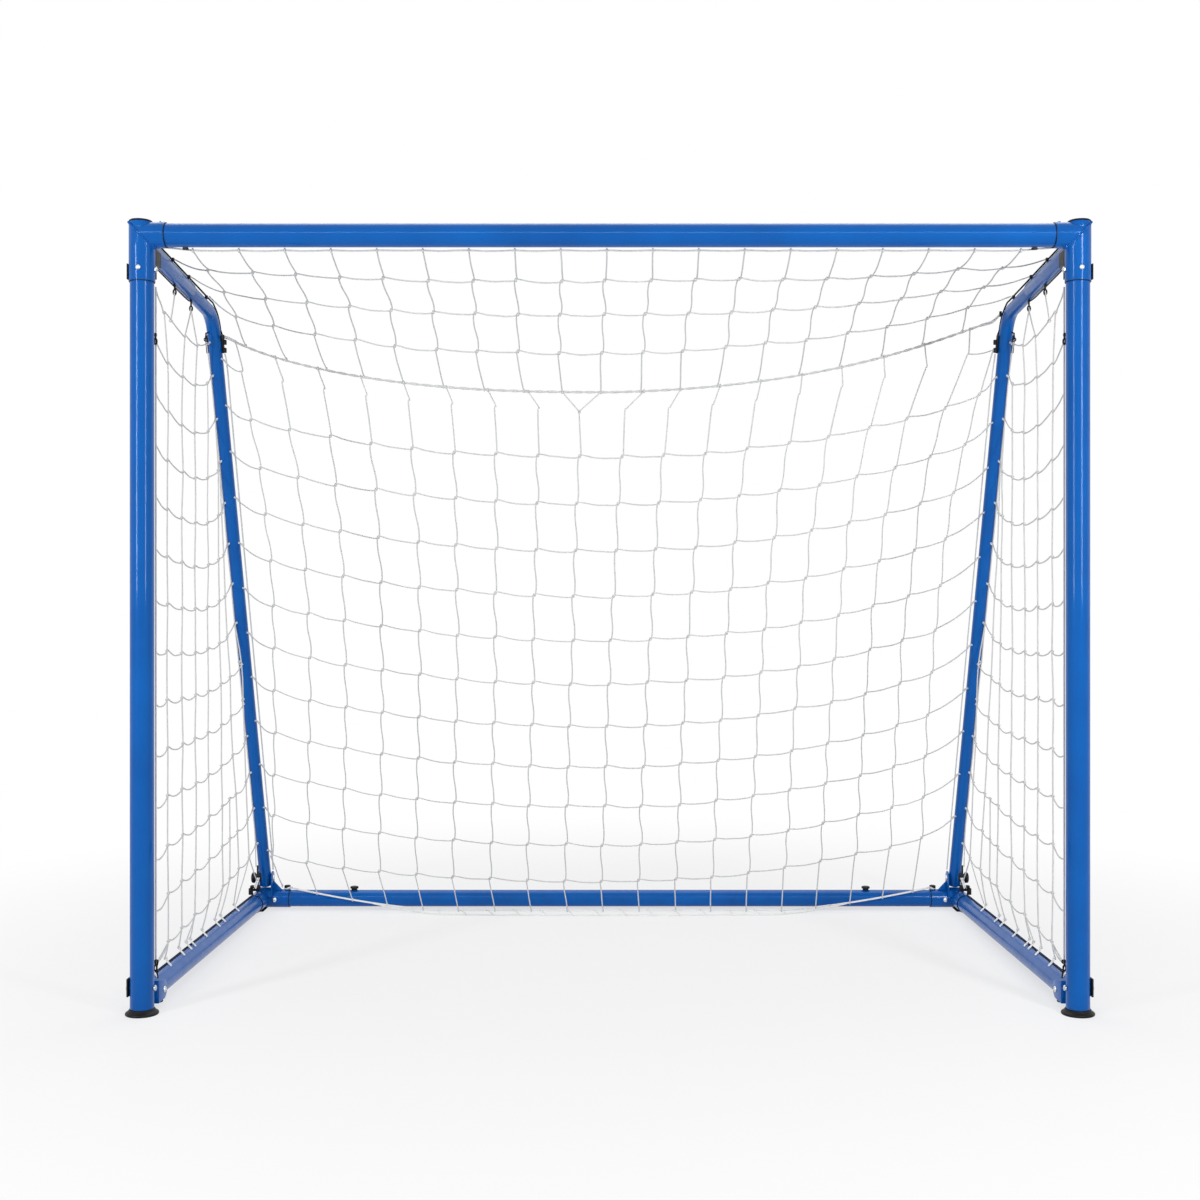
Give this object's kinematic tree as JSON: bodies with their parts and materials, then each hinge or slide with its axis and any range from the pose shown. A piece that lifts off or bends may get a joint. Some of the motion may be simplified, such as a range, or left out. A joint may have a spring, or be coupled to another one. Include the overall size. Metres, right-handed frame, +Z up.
{
  "type": "portable soccer goal",
  "caption": "Portable soccer goal with tubular posts, crossbar and ground frame, two bent side hoops that fold down with the front frame, and a knotted net.",
  "frame": {"origin": "centre of the footprint on the ground", "axes": "+X along the crossbar, +Y from the mouth towards the back, +Z up"},
  "size_m": [1.848, 1.0596, 1.515],
  "materials": {
    "blue_powder_coat": "glossy blue powder coat on steel tube",
    "black_plastic": "moulded black plastic",
    "black_rubber": "moulded black rubber",
    "zinc_steel": "bright zinc plating",
    "white_cord": "twisted white polyethylene cord"
  },
  "bodies": {
    "ground_frame": {"side_bar_left": "blue_powder_coat", "side_bar_right": "blue_powder_coat", "rear_bar": "blue_powder_coat", "rear_corner_left": "blue_powder_coat", "rear_corner_right": "blue_powder_coat", "front_pad_left": "black_rubber", "front_pad_right": "black_rubber", "rear_pad_left": "black_rubber", "rear_pad_right": "black_rubber", "rear_bolt_left": "zinc_steel", "rear_bolt_right": "zinc_steel", "hinge_bolt_left": "zinc_steel", "hinge_bolt_right": "zinc_steel", "hoop_bolt_left": "zinc_steel", "hoop_bolt_right": "zinc_steel", "hoop_knob_left": "black_plastic", "hoop_knob_right": "black_plastic", "net_button_left": "black_plastic", "net_button_right": "black_plastic", "net_roof": "white_cord", "net_back": "white_cord", "net_side_left": "white_cord", "net_side_right": "white_cord", "rear_rope": "white_cord", "hem_rope": "white_cord"},
    "front_frame": {"post_left": "blue_powder_coat", "post_right": "blue_powder_coat", "crossbar": "blue_powder_coat", "top_corner_left": "blue_powder_coat", "top_corner_right": "blue_powder_coat", "corner_cap_left": "black_plastic", "corner_cap_right": "black_plastic", "corner_bolt_left": "zinc_steel", "corner_bolt_right": "zinc_steel", "corner_screw_left": "zinc_steel", "corner_screw_right": "zinc_steel", "crossbar_screw_left": "zinc_steel", "crossbar_screw_right": "zinc_steel", "foot_left": "black_rubber", "foot_right": "black_rubber", "foot_plate_left": "black_plastic", "foot_plate_right": "black_plastic", "foot_bolt_left": "zinc_steel", "foot_bolt_right": "zinc_steel", "hinge_bracket_left": "blue_powder_coat", "hinge_bracket_right": "blue_powder_coat", "hoop_cradle_left": "black_plastic", "hoop_cradle_right": "black_plastic"},
    "back_hoops": {"hoop_left": "blue_powder_coat", "hoop_right": "blue_powder_coat", "hoop_sleeve_left": "blue_powder_coat", "hoop_sleeve_right": "blue_powder_coat", "hoop_collar_left": "black_plastic", "hoop_collar_right": "black_plastic"},
    "pin_left": {"lock_pin_left": "black_plastic"},
    "pin_right": {"lock_pin_right": "black_plastic"}
  },
  "joints": [
    {"name": "front_frame_fold", "type": "hinge", "parent": "ground_frame", "child": "front_frame", "pos_m": [0, -0.43928, 0.033], "axis": [-1, 0, 0], "range_deg": [0, 86], "deforming": ["net_roof", "net_back", "net_side_left", "net_side_right", "rear_rope"]},
    {"name": "hoops_fold", "type": "hinge", "parent": "ground_frame", "child": "back_hoops", "pos_m": [0, 0.49373, 0.0806], "axis": [-1, 0, 0], "range_deg": [0, 107.5]},
    {"name": "lock_pin_left_pull", "type": "slide", "parent": "ground_frame", "child": "pin_left", "axis": [0, 0, 1], "range_m": [0, 0.008], "stiffness_N_per_m": 300, "springref_m": -0.01},
    {"name": "lock_pin_right_pull", "type": "slide", "parent": "ground_frame", "child": "pin_right", "axis": [0, 0, 1], "range_m": [0, 0.008], "stiffness_N_per_m": 300, "springref_m": -0.01}
  ],
  "couplings": [
    {"joint": "hoops_fold", "follows": "front_frame_fold", "ratio": 1.25}
  ]
}
